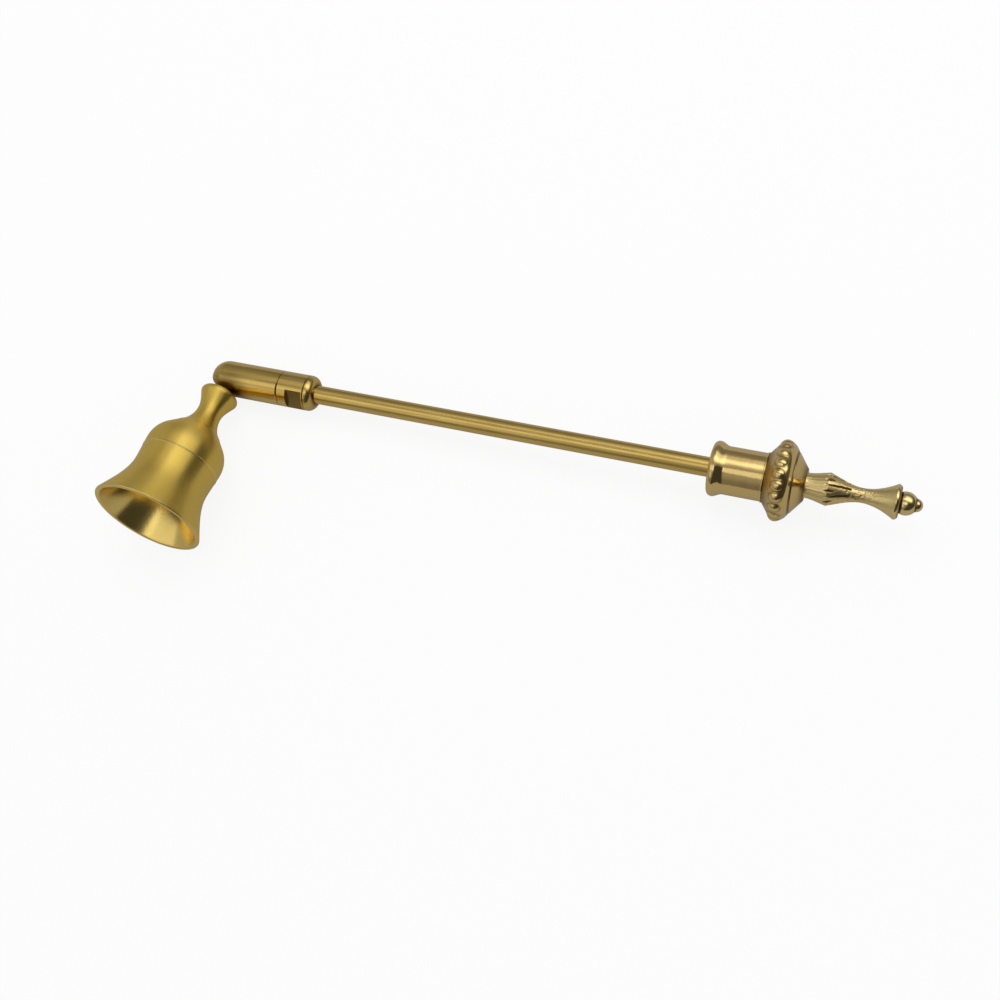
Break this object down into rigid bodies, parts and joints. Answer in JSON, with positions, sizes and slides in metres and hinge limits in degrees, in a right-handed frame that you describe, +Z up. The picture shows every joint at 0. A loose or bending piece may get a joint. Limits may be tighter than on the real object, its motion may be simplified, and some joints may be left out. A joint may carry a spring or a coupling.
{
  "type": "candle snuffer",
  "caption": "Brass candle snuffer: turned bell on a ball swivel that tilts and spins, a slim rod and a cast handle with a beaded knop and fluted finial.",
  "frame": {"origin": "on the table, straight under the centre of the swivel ball", "axes": "+Z up from the table it lies on, +X along the rod towards the handle as seen from above, the bell's mouth towards -Y"},
  "size_m": [0.2191, 0.064, 0.032],
  "materials": {
    "satin_brass": "satin, turned rings",
    "drawn_brass": "satin, drawn lengthwise",
    "cast_brass": "polished casting",
    "inner_brass": "machined",
    "spring_steel": "plain"
  },
  "bodies": {
    "handle": {"swivel_barrel": "drawn_brass", "friction_cup": "inner_brass", "spring_discs": "spring_steel", "tension_collar": "drawn_brass", "rod": "drawn_brass", "ferrule": "cast_brass", "beaded_knop": "cast_brass", "finial": "cast_brass", "tie_stud": "inner_brass"},
    "swivel": {"ball_stud": "inner_brass", "bell_washer": "inner_brass", "bell_screw": "inner_brass"},
    "bell": {"bell": "satin_brass"}
  },
  "joints": [
    {"name": "bell_tilt", "type": "hinge", "parent": "handle", "child": "swivel", "pos_m": [0, 0, 0.00517], "axis": [0.0338, -0.224, -0.974], "range_deg": [-3.5, 86.5]},
    {"name": "bell_spin", "type": "hinge", "parent": "swivel", "child": "bell", "pos_m": [0, 0, 0.00517], "axis": [-0.0688, -0.9728, 0.2213], "continuous": true}
  ]
}
